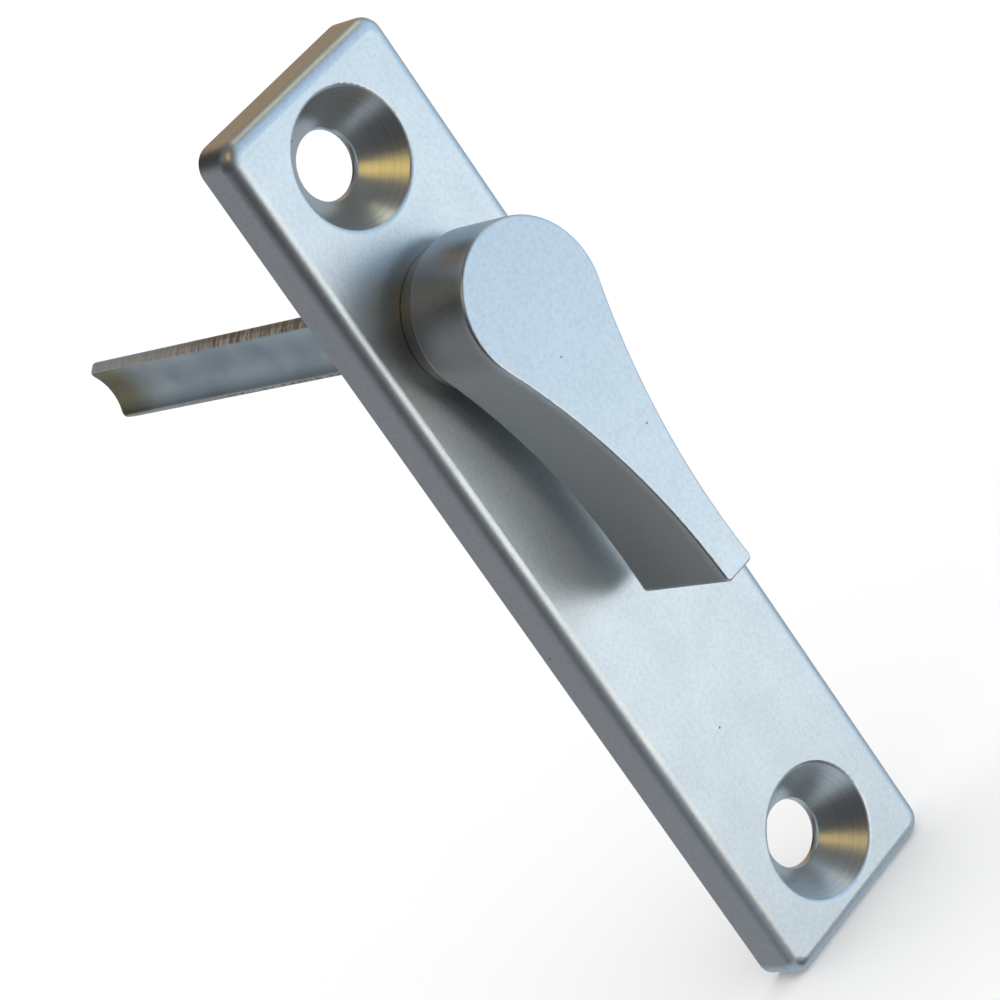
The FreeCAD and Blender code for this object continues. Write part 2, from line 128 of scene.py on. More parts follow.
# %% [markdown]
# ## A plain white room
#
# Under a white world of strength 1 a matt colour renders as it is written, which is the
# plainest level there is. The view transform is Standard for the same reason: Blender's
# default one bends colours to look like film. The metal itself doesn't see this room. It
# mirrors the tent further down, because a white room makes chrome look like plaster.

# %% White world
world = bpy.data.worlds.new("white_room")
world.use_nodes = True
background = world.node_tree.nodes["Background"]
background.inputs["Color"].default_value = (1, 1, 1, 1)
background.inputs["Strength"].default_value = 1.0
scene.world = world
scene.view_settings.view_transform = "Standard"
print("world:", world.name, "with view transform", scene.view_settings.view_transform)

# %% [markdown]
# ## The floor
#
# The part stands on white paper. Paper scatters light and has no gloss: full roughness
# and no specular level. It lies a hair below the part, so that no two faces share a
# plane, and it is so large that its edge stays out of the picture. Glossy rays don't
# meet it, or it would lay a white band across the metal, but it keeps the part's shadow.

# %% White paper floor
PAPER_COLOUR = "#FDFDFD"
FLOOR_SIZE = 6.0
FLOOR_GAP_MM = 0.01

bpy.ops.mesh.primitive_plane_add(size=FLOOR_SIZE, location=(0, 0, low.z - FLOOR_GAP_MM * MM))
floor = bpy.context.object
floor.name = "floor"
floor.visible_glossy = False
paper = bpy.data.materials.new("white_paper")
paper.use_nodes = True
paper_shader = paper.node_tree.nodes["Principled BSDF"]
paper_shader.inputs["Base Color"].default_value = linear(PAPER_COLOUR)
paper_shader.inputs["Roughness"].default_value = 1.0
paper_shader.inputs["Specular IOR Level"].default_value = 0.0
floor.data.materials.append(paper)
print("floor at", round(floor.location.z / MM, 2), "mm")

# %% [markdown]
# ## One soft lamp
#
# The white world lights everything evenly, so it leaves hardly a shadow and the part
# seems to float. A large, weak lamp overhead adds just enough direction. A small one
# would draw hard edges. Metal would mirror it as a spot, so glossy rays don't meet it
# either.

# %% Overhead lamp
LAMP_AT = Vector((0.3, -0.3, 1.2))
LAMP_SIZE = 1.0
LAMP_WATTS = 1.0

lamp = bpy.data.objects.new("overhead_lamp", bpy.data.lights.new("overhead_lamp", "AREA"))
scene.collection.objects.link(lamp)
lamp.data.size = LAMP_SIZE
lamp.data.energy = LAMP_WATTS
lamp.location = LAMP_AT
lamp.rotation_euler = (-LAMP_AT).to_track_quat("-Z", "Y").to_euler()
lamp.visible_camera = False
lamp.visible_glossy = False
print("lamp of", LAMP_WATTS, "W,", round(LAMP_AT.length, 2), "m away")

# %% [markdown]
# ## The tent that the metal mirrors
#
# A photographer of silverware puts it in a tent and hangs panels in that: pale ones
# where a face has to be bright, dark ones, called flags, where an edge has to be dark,
# and a scrap of gold where a glint looks good. What a face mirrors is a direction. So
# each panel is given as one, by azimuth and elevation as seen from the part, and it
# stays put when the camera moves.
#
# Azimuth is counted from the front of the part towards its left, elevation from level.
# All angles are in degrees, and a later panel hangs in front of the earlier ones.

# %% List the panels
TENT_CLOTH = "#7D8185"
PANELS = [
    # name, azimuth, elevation, half width, half height, softness, colour
    ("blue_grey_table", -30, -75, 260, 42, 0.3, "#87939B"),
    ("grey_right", -100, -15, 50, 30, 0.4, "#7A838A"),
    ("dark_ceiling", 0, 80, 200, 34, 0.3, "#4E4E4E"),
    ("dark_left", 75, 6, 58, 40, 0.35, "#343437"),
    ("grey_back_left", 135, -22, 48, 16, 0.4, "#6B6D70"),
    ("dark_back_left", 170, 36, 48, 26, 0.5, "#262626"),
    ("brown_back_right", -141, 30, 28, 28, 0.5, "#83715A"),
    ("sky_window", -46, 4, 42, 38, 0.5, "#9EB7CC"),
    ("dark_below", -8, -50, 34, 24, 0.2, "#101112"),
    ("pale_window", -28, -19, 30, 13, 0.2, "#D3DDE2"),
    ("white_edge", -5, -19, 21, 12, 0.2, "#FFFFF6"),
    ("olive_shelf", 7, 35, 22, 15, 0.4, "#48453B"),
    ("warm_top_right", -80, 56, 20, 11, 0.5, "#D6D4BC"),
    ("gold_lamp", 47, 51, 14, 14, 0.6, "#E2C472"),
]
print("panels in the tent:", len(PANELS))

# %% [markdown]
# ### From a direction to two angles
#
# The tent is a ball about the part. A point on it, divided by its length, is the
# direction in which the part sees it, and arctangent and arcsine turn that into azimuth
# and elevation. A picture wrapped round the ball would do the same job, but angles can
# be moved by a degree.

# %% Azimuth and elevation of a point on the tent
tent_cloth = bpy.data.materials.new("tent_cloth")
tent_cloth.use_nodes = True
tree = tent_cloth.node_tree
tree.nodes.clear()
position = add_node(tree, "ShaderNodeTexCoord").outputs["Object"]
heading = add_node(tree, "ShaderNodeVectorMath", {"operation": "NORMALIZE"}, {0: position}).outputs[0]
axes = add_node(tree, "ShaderNodeSeparateXYZ", None, {0: heading}).outputs
leftward = add_node(tree, "ShaderNodeMath", {"operation": "MULTIPLY", 1: -1.0}, {0: axes["X"]}).outputs[0]
forward = add_node(tree, "ShaderNodeMath", {"operation": "MULTIPLY", 1: -1.0}, {0: axes["Y"]}).outputs[0]
around = add_node(tree, "ShaderNodeMath", {"operation": "ARCTAN2"}, {0: leftward, 1: forward}).outputs[0]
rise = add_node(tree, "ShaderNodeMath", {"operation": "ARCSINE"}, {0: axes["Z"]}).outputs[0]
angles = add_node(tree, "ShaderNodeCombineXYZ", None, {"X": around, "Y": rise}).outputs[0]
print("nodes from a point to its angles:", len(tree.nodes))

# %% [markdown]
# ### An oval for each panel
#
# The way from a panel's middle, divided by its half width and half height, is shorter
# than 1 inside an oval, and a smooth step about 1 gives that a soft rim. Azimuth jumps
# from 180 to -180 degrees behind the part, so the way is wrapped there, or an oval
# across the jump would be cut in two.

# %% Paint the panels, one over the other
painted = None
for name, azimuth, elevation, half_width, half_height, softness, panel_colour in PANELS:
    middle = Vector((math.radians(azimuth), math.radians(elevation), 0))
    reach = Vector((math.radians(half_width), math.radians(half_height), 1))
    offset = add_node(tree, "ShaderNodeVectorMath", {"operation": "SUBTRACT", 1: middle}, {0: angles})
    nearest = add_node(tree, "ShaderNodeVectorMath", {
        "operation": "WRAP", 1: (math.pi, math.pi, 1), 2: (-math.pi, -math.pi, -1),
    }, {0: offset.outputs[0]})
    scaled = add_node(tree, "ShaderNodeVectorMath", {"operation": "DIVIDE", 1: reach},
                      {0: nearest.outputs[0]})
    distance = add_node(tree, "ShaderNodeVectorMath", {"operation": "LENGTH"}, {0: scaled.outputs[0]})
    oval = add_node(tree, "ShaderNodeMapRange", {
        "interpolation_type": "SMOOTHSTEP", "From Min": 1 + softness, "From Max": 1 - softness,
    }, {"Value": distance.outputs["Value"]})
    mix = add_node(tree, "ShaderNodeMix", {
        "data_type": "RGBA", "label": name, 6: linear(TENT_CLOTH), 7: linear(panel_colour),
    }, {0: oval.outputs["Result"]})
    if painted:
        tree.links.new(painted, mix.inputs[6])
    painted = mix.outputs[2]
print("last panel painted:", name)

# %% [markdown]
# ### Hang the tent
#
# The chromes below return little more than half of the light. A window has to be
# brighter than white paper to make a bright face of that, so the tent glows at twice the
# strength of the room. It isn't a lamp: only mirrored rays meet it, matt things and
# shadows don't, and it isn't sampled as a light.

# %% A glowing ball that only mirrored rays meet
TENT_RADIUS = 0.5
TENT_STRENGTH = 2.0

glow = add_node(tree, "ShaderNodeEmission", {"Strength": TENT_STRENGTH}, {"Color": painted})
add_node(tree, "ShaderNodeOutputMaterial", None, {"Surface": glow.outputs[0]})
tent_cloth.cycles.emission_sampling = "NONE"

bpy.ops.mesh.primitive_ico_sphere_add(subdivisions=5, radius=TENT_RADIUS, location=(low + high) / 2)
tent = bpy.context.object
tent.name = "tent"
tent.data.materials.append(tent_cloth)
for ray in ("camera", "diffuse", "transmission", "volume_scatter", "shadow"):
    setattr(tent, f"visible_{ray}", False)
print("tent of", 2 * TENT_RADIUS, "m about", [round(along / MM, 1) for along in tent.location])

# %% [markdown]
# ## Satin chrome
#
# Plate and turn are zinc die castings, blasted with fine beads and then plated with
# nickel and chrome. The blasting leaves a skin of tiny round dents, which the plating
# follows: the eye sees a cool silver with a soft sheen, a fine restless grain and no
# direction in it. Here and there a gas bubble of the casting breaks the skin as a pit.
#
# A metal has no body colour to paint, so nearly everything is done with roughness and
# bump: a noise of dent size makes the grain, a slower one makes the sheen cloudy, and
# the few cells of a Voronoi texture that the surface happens to cut become the pits. An
# image of a blasted surface would show its repeats, and noise in the part's own space
# runs over every edge without a seam. Satin chrome is usually 0.25 to 0.4 rough and
# metallic throughout, and like every metal it keeps the default IOR.
#
# The part is in metres, so a texture's scale is one over the size of a feature. Noise
# bunches about one half: a pattern that used all of 0 to 1 would hardly show, so each
# takes a band in the middle.

# %% The skin of a blasted and plated casting
# Real dents are about 0.1 mm wide. That is hardly more than a pixel here, so they are
# drawn as coarse as they need to be to show.
BEAD_DENT_MM = 0.27
DENT_DEPTH_MM = 0.005
CLOUD_MM = 3.0
PIT_COLOUR = "#6E6A68"
PIT_SPACING_MM = 2.6
PIT_RADIUS_MM = 0.1
PIT_FLOOR_MM = 0.05
ROUGHNESS_SWING = 0.03
GRAIN_BAND = {"From Min": 0.3, "From Max": 0.6}
CLOUD_BAND = {"From Min": 0.3, "From Max": 0.7}


def per_metre(size_mm):
    """The texture scale at which one feature is size_mm wide, on a part in metres."""
    return 1 / (size_mm * MM)


def blasted_chrome(name, chrome, shade, roughness):
    """A new material and the sockets of its skin: place, colour, roughness and height."""
    material = bpy.data.materials.new(name)
    material.use_nodes = True
    tree = material.node_tree
    place = add_node(tree, "ShaderNodeTexCoord").outputs["Object"]
    dents = add_node(tree, "ShaderNodeTexNoise", {"Scale": per_metre(BEAD_DENT_MM), "Detail": 2.0},
                     {"Vector": place}).outputs["Fac"]
    clouds = add_node(tree, "ShaderNodeTexNoise", {"Scale": per_metre(CLOUD_MM), "Detail": 3.0},
                      {"Vector": place}).outputs["Fac"]
    bubbles = add_node(tree, "ShaderNodeTexVoronoi", {"Scale": per_metre(PIT_SPACING_MM)},
                       {"Vector": place}).outputs["Distance"]
    pits = add_node(tree, "ShaderNodeMapRange", {
        "From Min": PIT_RADIUS_MM / PIT_SPACING_MM, "From Max": PIT_FLOOR_MM / PIT_SPACING_MM,
    }, {"Value": bubbles}).outputs["Result"]
    grain = add_node(tree, "ShaderNodeMapRange", GRAIN_BAND, {"Value": dents})
    tint = add_node(tree, "ShaderNodeMix", {
        "data_type": "RGBA", 6: linear(shade), 7: linear(chrome),
    }, {0: grain.outputs["Result"]})
    pitted = add_node(tree, "ShaderNodeMix", {"data_type": "RGBA", 7: linear(PIT_COLOUR)},
                      {0: pits, 6: tint.outputs[2]})
    rough = add_node(tree, "ShaderNodeMapRange", CLOUD_BAND | {
        "To Min": roughness - ROUGHNESS_SWING, "To Max": roughness + ROUGHNESS_SWING,
    }, {"Value": clouds})
    height = add_node(tree, "ShaderNodeMath", {"operation": "SUBTRACT"}, {0: dents, 1: pits})
    return {
        "material": material, "tree": tree, "place": place,
        "colour": pitted.outputs[2], "roughness": rough.outputs["Result"], "height": height.outputs[0],
    }


print("dents", BEAD_DENT_MM, "mm wide, clouds", CLOUD_MM, "mm, pits", 2 * PIT_RADIUS_MM, "mm")

# %% [markdown]
# ### From skin to shader
#
# Every metal here ends in the same way: colour, roughness and a bump go to one
# Principled shader with metallic at 1, and the material goes to a node of the frame. The
# bump's distance is the real depth of a dent, since displacing a mesh by 0.005 mm would
# take millions of faces to show what shading shows for nothing.

# %% Join a skin to its shader
def dress(node_name, skin, depth_mm):
    """Joins a skin to its shader as bare metal and gives it to a node of the frame."""
    tree = skin["tree"]
    shader = tree.nodes["Principled BSDF"]
    shader.inputs["Metallic"].default_value = 1.0
    bump = add_node(tree, "ShaderNodeBump", {"Strength": 1.0, "Distance": depth_mm * MM},
                    {"Height": skin["height"]})
    tree.links.new(skin["colour"], shader.inputs["Base Color"])
    tree.links.new(skin["roughness"], shader.inputs["Roughness"])
    tree.links.new(bump.outputs["Normal"], shader.inputs["Normal"])
    nodes[node_name].material_slots[0].material = skin["material"]
    print(node_name, "wears", skin["material"].name)


print("nodes to dress:", len(nodes))

# %% [markdown]
# ## The turn, and where its chrome ends
#
# Chrome plating reaches badly into gaps: the current prefers what stands out. The face
# of the turn gets it all. Its side walls get less, and the back of the blade, the neck
# and the spindle keep the nickel of the layer below, which is darker and duller. Their
# grey is also painted shade, darker than nickel alone: it sets the face off from the
# walls, and the gap under the blade off from the plate.
#
# Painting faces one by one would break as soon as a size changes, so depth decides: the
# height above the plate for the blade's back, and the depth below the sloping face for
# the walls. That last is a dot product with the face's normal, because for all points
# of a sloping plane that product is the same.

# %% How far behind the face, and behind the blade, a point lies
# The turn's greys are the plate's chrome made a little darker: painted shade, for its darker walls.
TURN_CHROME_IN_SHADE = "#CBCED1"
TURN_GRAIN_IN_SHADE = "#C1C5C8"
TURN_ROUGHNESS = 0.33
FACE_MM = -10.1
FACE_SLOPE = math.radians(6.7)
# Below the face the walls take a share of the darker grey: painted shade, with the duller nickel.
FULL_CHROME_MM = 0.25
THIN_CHROME_MM = 0.75
WALL_SHADE_SHARE = 0.5
BLADE_BACK_MM = -4.65
FADE_MM = 0.03

skin = blasted_chrome("blasted_satin_chrome_turn", TURN_CHROME_IN_SHADE, TURN_GRAIN_IN_SHADE, TURN_ROUGHNESS)
tree = skin["tree"]
depth = add_node(tree, "ShaderNodeSeparateXYZ", None, {0: skin["place"]}).outputs["Y"]
behind = add_node(tree, "ShaderNodeMapRange", {
    "From Min": (BLADE_BACK_MM - FADE_MM) * MM, "From Max": BLADE_BACK_MM * MM,
}, {"Value": depth}).outputs["Result"]
below_face = add_node(tree, "ShaderNodeVectorMath", {
    "operation": "DOT_PRODUCT", 1: (0, 1, -math.tan(FACE_SLOPE)),
}, {0: skin["place"]}).outputs["Value"]
on_walls = add_node(tree, "ShaderNodeMapRange", {
    "From Min": (FACE_MM + FULL_CHROME_MM) * MM, "From Max": (FACE_MM + THIN_CHROME_MM) * MM,
    "To Max": WALL_SHADE_SHARE,
}, {"Value": below_face}).outputs["Result"]
# The mask of the darker grey: painted shade on the walls and behind the blade's back, where the nickel
# shows.
shade_mask = add_node(tree, "ShaderNodeMath", {"operation": "MAXIMUM"}, {0: behind, 1: on_walls}).outputs[0]
print("full chrome down to", FULL_CHROME_MM, "mm below the face, none behind", BLADE_BACK_MM, "mm")

# %% [markdown]
# ### Dull nickel and painted shade where the chrome is thin
#
# Nickel is a warmer and darker grey than chrome, and here it was never buffed. The grey
# used is darker still, as painted shade on the walls, the neck and under the blade. Two
# mixes do it: one for the colour, wherever chrome is thin, and one for the roughness,
# only where there is no chrome at all.

# %% Let the nickel and the painted shade show
# A grey darker than nickel alone: it carries painted shade.
NICKEL_AND_SHADE = "#A19E99"
NICKEL_ROUGHNESS = 0.42

nickel_and_shade = add_node(tree, "ShaderNodeMix", {"data_type": "RGBA", 7: linear(NICKEL_AND_SHADE)},
                  {0: shade_mask, 6: skin["colour"]})
duller = add_node(tree, "ShaderNodeMix", {3: NICKEL_ROUGHNESS}, {0: behind, 2: skin["roughness"]})
skin["colour"] = nickel_and_shade.outputs[2]
skin["roughness"] = duller.outputs[0]
dress("thumb_turn", skin, DENT_DEPTH_MM)

# %% [markdown]
# ## The plate and the way to its holes
#
# The plate has the same skin, a little rougher. Its countersinks are another surface:
# they were cut after blasting. To paint them, a material has to know how far each point
# is from the axis of the nearest hole. The record says where the holes are, in the mount
# for the screws. Folding the plate's height about the middle between the two lets one
# formula serve both.

# %% Distance from the axis of the nearest hole
PLATE_CHROME = "#D0D3D6"
PLATE_SHADE = "#C6CACD"
PLATE_ROUGHNESS = 0.37

holes = next(mount for mount in frame["record"]["mounts"] if mount["name"] == "screw_holes")
skin = blasted_chrome("blasted_satin_chrome_plate", PLATE_CHROME, PLATE_SHADE, PLATE_ROUGHNESS)
tree = skin["tree"]
axes = add_node(tree, "ShaderNodeSeparateXYZ", None, {0: skin["place"]}).outputs
from_middle = add_node(tree, "ShaderNodeMath", {"operation": "SUBTRACT", 1: holes["pos_m"][2]},
                       {0: axes["Z"]})
folded = add_node(tree, "ShaderNodeMath", {"operation": "ABSOLUTE"}, {0: from_middle.outputs[0]})
up = add_node(tree, "ShaderNodeMath", {
    "operation": "SUBTRACT", 1: holes["dims"]["spacing_y_mm"] / 2 * MM,
}, {0: folded.outputs[0]})
to_axis = add_node(tree, "ShaderNodeCombineXYZ", None, {"X": axes["X"], "Y": up.outputs[0]})
radius = add_node(tree, "ShaderNodeVectorMath", {"operation": "LENGTH"},
                  {0: to_axis.outputs[0]}).outputs["Value"]
print("holes", holes["dims"]["spacing_y_mm"], "mm apart")

# %% [markdown]
# ### Turning marks
#
# A rotating cutter leaves rings about the hole, in a brighter metal than the blasted
# one. Rings make a highlight stretch from the rim to the throat, as on the bottom of a
# pan. Real ones are a few hundredths of a millimetre apart, too fine to see one by one,
# so they are drawn coarser. A wave texture would space them evenly, and a one-dimensional
# noise along the radius doesn't. The back of the plate was never cut, so a step in depth
# keeps the rings off it.

# %% Rings inside the rim
SINK_METAL = "#D8DADA"
SINK_METAL_SHADE = "#CCCECD"
RING_MM = 0.14
RIM_MM = 4.4
RIM_FADE_MM = 0.1
UNCUT_BACK_MM = -0.02
CUT_FROM_MM = -0.1

inside = add_node(tree, "ShaderNodeMapRange", {
    "From Min": RIM_MM * MM, "From Max": (RIM_MM - RIM_FADE_MM) * MM,
}, {"Value": radius})
front = add_node(tree, "ShaderNodeMapRange", {
    "From Min": UNCUT_BACK_MM * MM, "From Max": CUT_FROM_MM * MM,
}, {"Value": axes["Y"]})
cut = add_node(tree, "ShaderNodeMath", {"operation": "MULTIPLY"},
               {0: inside.outputs["Result"], 1: front.outputs["Result"]}).outputs[0]
rings = add_node(tree, "ShaderNodeTexNoise", {
    "noise_dimensions": "1D", "Scale": per_metre(RING_MM), "Detail": 2.0,
}, {"W": radius}).outputs["Fac"]
contrast = add_node(tree, "ShaderNodeMapRange", GRAIN_BAND, {"Value": rings})
ringed = add_node(tree, "ShaderNodeMix", {
    "data_type": "RGBA", 6: linear(SINK_METAL_SHADE), 7: linear(SINK_METAL),
}, {0: contrast.outputs["Result"]})
print("rings", RING_MM, "mm wide out to a rim of", RIM_MM, "mm")

# %% [markdown]
# ### Plate and countersinks in one skin
#
# One mask, drawn above, switches colour, roughness and height together, as the cutter
# did. The rings are shallower than the dents, so they get only a share of their height.

# %% Put the countersinks into the plate
SINK_ROUGHNESS = 0.3
RING_SHARE = 0.2

machined = add_node(tree, "ShaderNodeMix", {"data_type": "RGBA"},
                    {0: cut, 6: skin["colour"], 7: ringed.outputs[2]})
smoother = add_node(tree, "ShaderNodeMix", {3: SINK_ROUGHNESS}, {0: cut, 2: skin["roughness"]})
grooves = add_node(tree, "ShaderNodeMath", {"operation": "MULTIPLY"}, {0: rings, 1: cut})
grooved = add_node(tree, "ShaderNodeMath", {"operation": "MULTIPLY_ADD", 1: RING_SHARE},
                   {0: grooves.outputs[0], 2: skin["height"]})
skin["colour"] = machined.outputs[2]
skin["roughness"] = smoother.outputs[0]
skin["height"] = grooved.outputs[0]
dress("face_plate", skin, DENT_DEPTH_MM)

# %% [markdown]
# ## The tail bar, zinc plated strip
#
# The tail is cold-rolled steel strip, bent to a half moon, then zinc plated and
# passivated. The eye sees a soft grey metal with faint lines along it, left by the
# rolls, and a bluish bloom, left by the bath. A noise that is stretched along the bar
# gives the lines, and a slow one between two greys gives the bloom. Real rolling lines
# are finer than a pixel here, so these are drawn coarser. Zinc plating is usually 0.3
# to 0.4 rough.

# %% Rolled strip under a bluish bloom
ZINC = "#CCD9DE"
ZINC_BLUE = "#BAC7D1"
ROLLING_MM = 0.3
ROLLING_STRETCH = 0.04
BLOOM_MM = 3.5
BLOOM_BAND = {"From Min": 0.4, "From Max": 0.65}

strip = bpy.data.materials.new("zinc_plated_strip")
strip.use_nodes = True
tree = strip.node_tree
place = add_node(tree, "ShaderNodeTexCoord").outputs["Object"]
axes = add_node(tree, "ShaderNodeSeparateXYZ", None, {0: place}).outputs
drawn_out = add_node(tree, "ShaderNodeVectorMath", {
    "operation": "MULTIPLY", 1: (1, ROLLING_STRETCH, 1),
}, {0: place})
lines = add_node(tree, "ShaderNodeTexNoise", {"Scale": per_metre(ROLLING_MM), "Detail": 3.0},
                 {"Vector": drawn_out.outputs[0]}).outputs["Fac"]
bloom = add_node(tree, "ShaderNodeTexNoise", {"Scale": per_metre(BLOOM_MM), "Detail": 3.0},
                 {"Vector": place}).outputs["Fac"]
blueing = add_node(tree, "ShaderNodeMapRange", BLOOM_BAND, {"Value": bloom})
zinc = add_node(tree, "ShaderNodeMix", {"data_type": "RGBA", 6: linear(ZINC), 7: linear(ZINC_BLUE)},
                {0: blueing.outputs["Result"]})
print("rolling lines", ROLLING_MM, "mm apart and", round(ROLLING_MM / ROLLING_STRETCH, 1), "mm long")

# %% [markdown]
# ### The olive stain at the free end
#
# The bath gathers where a part hangs lowest and stains it olive. A smooth step along the
# bar puts the stain at its free end, and adding the slow noise to the step's place frays
# its border, as a liquid would.

# %% The stain where the bath gathered
ZINC_OLIVE = "#968F70"
BAR_END_MM = 35.2
STAIN_MM = 6.0
STAIN_FRAY_MM = 3.0
PAST_END_MM = 1.0

ragged = add_node(tree, "ShaderNodeMath", {"operation": "MULTIPLY_ADD", 1: STAIN_FRAY_MM * MM},
                  {0: bloom, 2: axes["Y"]})
stain = add_node(tree, "ShaderNodeMapRange", {
    "interpolation_type": "SMOOTHSTEP",
    "From Min": (BAR_END_MM - STAIN_MM) * MM, "From Max": (BAR_END_MM + PAST_END_MM) * MM,
}, {"Value": ragged.outputs[0]})
passivated = add_node(tree, "ShaderNodeMix", {"data_type": "RGBA", 7: linear(ZINC_OLIVE)},
                      {0: stain.outputs["Result"], 6: zinc.outputs[2]})
print("stain over the last", STAIN_MM, "mm of", BAR_END_MM, "mm")

# %% [markdown]
# ### Find the sheared edges
#
# The strip's long edges were sheared, and they are another surface altogether. They
# could be picked as faces, but the mesh changes with every size. The section gives a
# steadier rule: it is an arc, and the edges are its two ends. So the angle about the
# arc's centre finds them, with the same values that bend the strip.

# %% Find the edges by angle
STRIP_INNER_MM = 3.4
STRIP_OUTER_MM = 4.3
STRIP_HALF_MM = 2.34
STRIP_OFFSET_MM = 0.24
EDGE_SOFT = math.radians(1.2)

bend = math.asin(STRIP_HALF_MM / STRIP_OUTER_MM)
arc_centre_mm = (STRIP_INNER_MM * math.cos(bend) + STRIP_OUTER_MM) / 2 + STRIP_OFFSET_MM
outward = add_node(tree, "ShaderNodeMath", {"operation": "ADD", 1: arc_centre_mm * MM}, {0: axes["X"]})
around = add_node(tree, "ShaderNodeMath", {"operation": "ARCTAN2"}, {0: axes["Z"], 1: outward.outputs[0]})
either_side = add_node(tree, "ShaderNodeMath", {"operation": "ABSOLUTE"}, {0: around.outputs[0]})
edge = add_node(tree, "ShaderNodeMapRange", {
    "From Min": bend - 2 * EDGE_SOFT, "From Max": bend - EDGE_SOFT,
}, {"Value": either_side.outputs[0]}).outputs["Result"]
section = add_node(tree, "ShaderNodeCombineXYZ", None, {"X": outward.outputs[0], "Z": axes["Z"]})
from_centre = add_node(tree, "ShaderNodeVectorMath", {"operation": "LENGTH"},
                       {0: section.outputs[0]}).outputs["Value"]
print("edges of the strip at", round(math.degrees(bend), 1), "degrees of its arc")

# %% [markdown]
# ### Torn steel, barred across
#
# A shear's blade burnishes the first bit of an edge and tears the rest, so that it is
# barred across its thickness. A noise squeezed in that direction makes the bars. The
# wider the band that they take, the fainter they are: narrow where the steel tore, wide
# where it was burnished, which the distance from the arc's centre tells apart. Real bars
# are about 0.1 mm wide and are drawn coarser to show.

# %% Bars from the burnished side to the torn one
BAR_MM = 0.26
ACROSS_STRETCH = 0.15
BURNISHED_FROM_MM = 3.8
BURNISHED_TO_MM = 4.0
BAND_START = 0.35
TORN_BAND_END = 0.62
BURNISHED_BAND_END = 0.95

squeezed = add_node(tree, "ShaderNodeVectorMath", {
    "operation": "MULTIPLY", 1: (ACROSS_STRETCH, 1, ACROSS_STRETCH),
}, {0: place})
bars = add_node(tree, "ShaderNodeTexNoise", {"Scale": per_metre(BAR_MM), "Detail": 2.0},
                {"Vector": squeezed.outputs[0]}).outputs["Fac"]
band_end = add_node(tree, "ShaderNodeMapRange", {
    "From Min": BURNISHED_FROM_MM * MM, "From Max": BURNISHED_TO_MM * MM,
    "To Min": TORN_BAND_END, "To Max": BURNISHED_BAND_END,
}, {"Value": from_centre})
barred = add_node(tree, "ShaderNodeMapRange", {"From Min": BAND_START},
                  {"Value": bars, "From Max": band_end.outputs["Result"]})
print("bars", BAR_MM, "mm wide, torn inside", BURNISHED_FROM_MM, "mm from the arc's centre")

# %% [markdown]
# ### A brown film that greys towards the end
#
# Zinc is thin on torn steel, and a brown film of rust comes through it. Near the plate
# it covers the edge, and towards the free end the plating held and the edge is grey.

# %% Rust and its way to grey
EDGE_BROWN = "#66584A"
EDGE_PALE = "#A9A297"
EDGE_GREY = "#8F979A"
BROWN_FROM_MM = 32.0
BROWN_TO_MM = 18.0

greying = add_node(tree, "ShaderNodeMapRange", {
    "interpolation_type": "SMOOTHSTEP", "From Min": BROWN_TO_MM * MM, "From Max": BROWN_FROM_MM * MM,
}, {"Value": axes["Y"]})
ground = add_node(tree, "ShaderNodeMix", {
    "data_type": "RGBA", 6: linear(EDGE_BROWN), 7: linear(EDGE_GREY),
}, {0: greying.outputs["Result"]})
torn = add_node(tree, "ShaderNodeMix", {"data_type": "RGBA", 7: linear(EDGE_PALE)},
                {0: barred.outputs["Result"], 6: ground.outputs[2]})
print("edge brown up to", BROWN_TO_MM, "mm, grey from", BROWN_FROM_MM, "mm")

# %% [markdown]
# ### Strip and edges in one shader
#
# Rust scatters light instead of mirroring it, so the metallic value drops on the edges
# and the roughness rises. The rolling lines are much shallower than the bars, so one
# bump serves both: the lines get a share of its depth.

# %% Join the strip to its shader
ZINC_ROUGHNESS = 0.3
EDGE_METALLIC = 0.45
EDGE_ROUGHNESS = 0.5
BAR_DEPTH_MM = 0.02
LINE_SHARE = 0.1

colour = add_node(tree, "ShaderNodeMix", {"data_type": "RGBA"},
                  {0: edge, 6: passivated.outputs[2], 7: torn.outputs[2]})
metallic = add_node(tree, "ShaderNodeMapRange", {"To Min": 1.0, "To Max": EDGE_METALLIC}, {"Value": edge})
rough = add_node(tree, "ShaderNodeMapRange", {"To Min": ZINC_ROUGHNESS, "To Max": EDGE_ROUGHNESS},
                 {"Value": edge})
shallow = add_node(tree, "ShaderNodeMath", {"operation": "MULTIPLY", 1: LINE_SHARE}, {0: lines})
height = add_node(tree, "ShaderNodeMix", None, {0: edge, 2: shallow.outputs[0], 3: bars})
bump = add_node(tree, "ShaderNodeBump", {"Strength": 1.0, "Distance": BAR_DEPTH_MM * MM},
                {"Height": height.outputs[0]})
shader = tree.nodes["Principled BSDF"]
tree.links.new(colour.outputs[2], shader.inputs["Base Color"])
tree.links.new(metallic.outputs["Result"], shader.inputs["Metallic"])
tree.links.new(rough.outputs["Result"], shader.inputs["Roughness"])
tree.links.new(bump.outputs["Normal"], shader.inputs["Normal"])
nodes["tail_bar"].material_slots[0].material = strip
print("tail_bar wears", strip.name)

# %% [markdown]
# ## Small hardware behind the plate
#
# Washers, clip and pin hide behind the plate, in two finishes with one plan: a base
# colour clouded by a stain, and a fine grain that roughens it. So one function makes
# both, from the size of the grain and of the clouds.

# %% A clouded metal
HARDWARE_SWING = 0.06


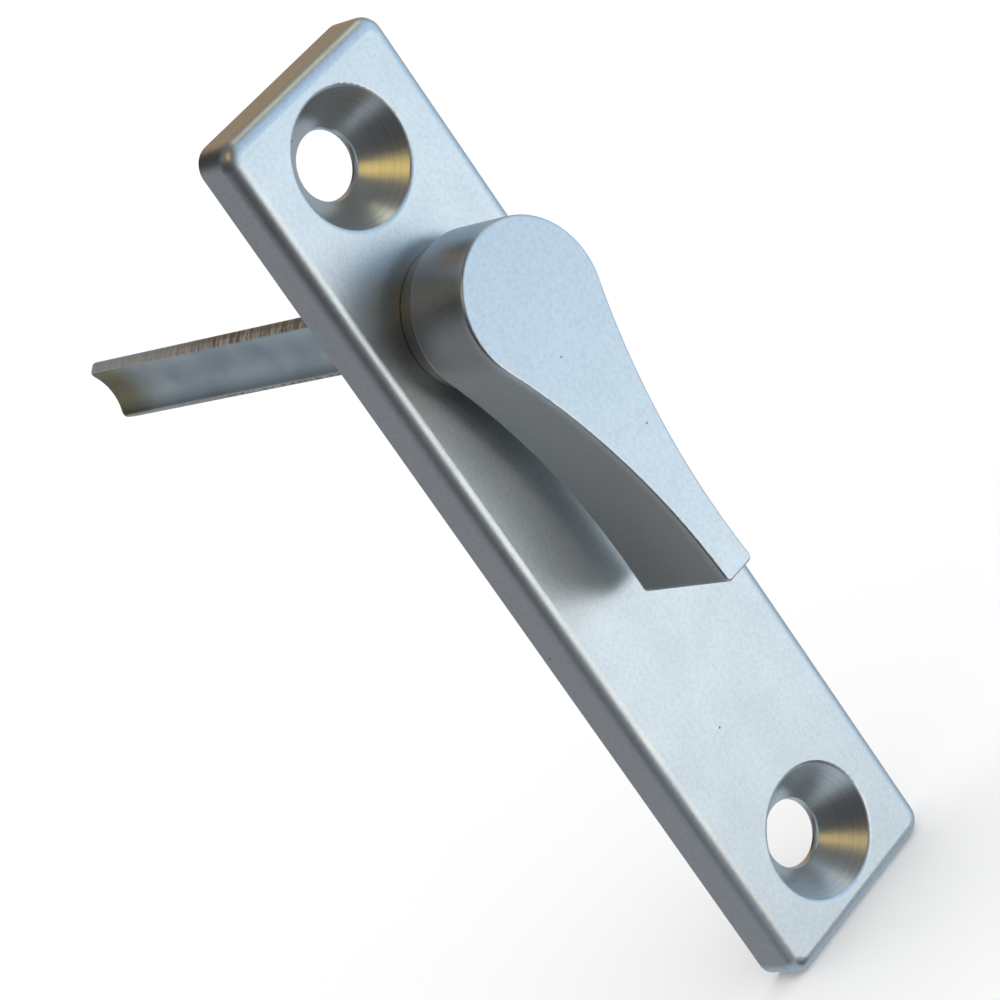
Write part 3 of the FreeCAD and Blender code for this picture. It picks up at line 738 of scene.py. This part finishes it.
def clouded_metal(name, base, stain, grain_mm, cloud_mm, roughness):
    """A new material and the sockets of its skin, as blasted_chrome gives them."""
    material = bpy.data.materials.new(name)
    material.use_nodes = True
    tree = material.node_tree
    place = add_node(tree, "ShaderNodeTexCoord").outputs["Object"]
    grain = add_node(tree, "ShaderNodeTexNoise", {"Scale": per_metre(grain_mm), "Detail": 3.0},
                     {"Vector": place}).outputs["Fac"]
    clouds = add_node(tree, "ShaderNodeTexNoise", {"Scale": per_metre(cloud_mm), "Detail": 3.0},
                      {"Vector": place}).outputs["Fac"]
    stained = add_node(tree, "ShaderNodeMapRange", BLOOM_BAND, {"Value": clouds})
    colour = add_node(tree, "ShaderNodeMix", {"data_type": "RGBA", 6: linear(base), 7: linear(stain)},
                      {0: stained.outputs["Result"]})
    rough = add_node(tree, "ShaderNodeMapRange", CLOUD_BAND | {
        "To Min": roughness - HARDWARE_SWING, "To Max": roughness + HARDWARE_SWING,
    }, {"Value": grain})
    return {
        "material": material, "tree": tree, "place": place,
        "colour": colour.outputs[2], "roughness": rough.outputs["Result"], "height": grain,
    }


print("hardware's roughness swings by", HARDWARE_SWING)

# %% [markdown]
# ### Spring steel
#
# The bowed washer and the clip are hardened spring steel, left bare. Tempering browns it
# a little in patches, and tumbling with stones leaves it a dull, finely scratched grey.
# The scratches are drawn about twice as wide as real ones.

# %% Bare spring steel, tempered and tumbled
SPRING_STEEL = "#B2B0AC"
TEMPER_BROWN = "#A09080"
TUMBLE_MM = 0.18
TEMPER_MM = 2.5
SPRING_ROUGHNESS = 0.42

for node_name in ("spring_washer", "retaining_clip"):
    dress(node_name, clouded_metal(f"tempered_spring_steel_{node_name}", SPRING_STEEL, TEMPER_BROWN,
                                   TUMBLE_MM, TEMPER_MM, SPRING_ROUGHNESS), DENT_DEPTH_MM)

# %% [markdown]
# ### Bright zinc
#
# The flat washer and the pin are soft steel with a bright zinc plating. It is smoother
# than the strip's, and its clear passivation shimmers from blue to straw, as oil does on
# water. Its crystals are drawn coarser than real ones and half as deep as a bead's dent.

# %% Bright zinc plating, clouded by passivation
BRIGHT_ZINC = "#CDD6DB"
STRAW = "#C9C09C"
CRYSTAL_MM = 0.12
PASSIVATION_MM = 1.8
BRIGHT_ROUGHNESS = 0.28

for node_name in ("backing_washer", "tail_pin"):
    dress(node_name, clouded_metal(f"bright_zinc_plated_{node_name}", BRIGHT_ZINC, STRAW,
                                   CRYSTAL_MM, PASSIVATION_MM, BRIGHT_ROUGHNESS), DENT_DEPTH_MM / 2)

# %% [markdown]
# ## Finish
#
# The looks added nothing outside the CAD frame. The last cell counts the frame's nodes.

# %% Finish
print("boxes written for", len(nodes), "nodes")
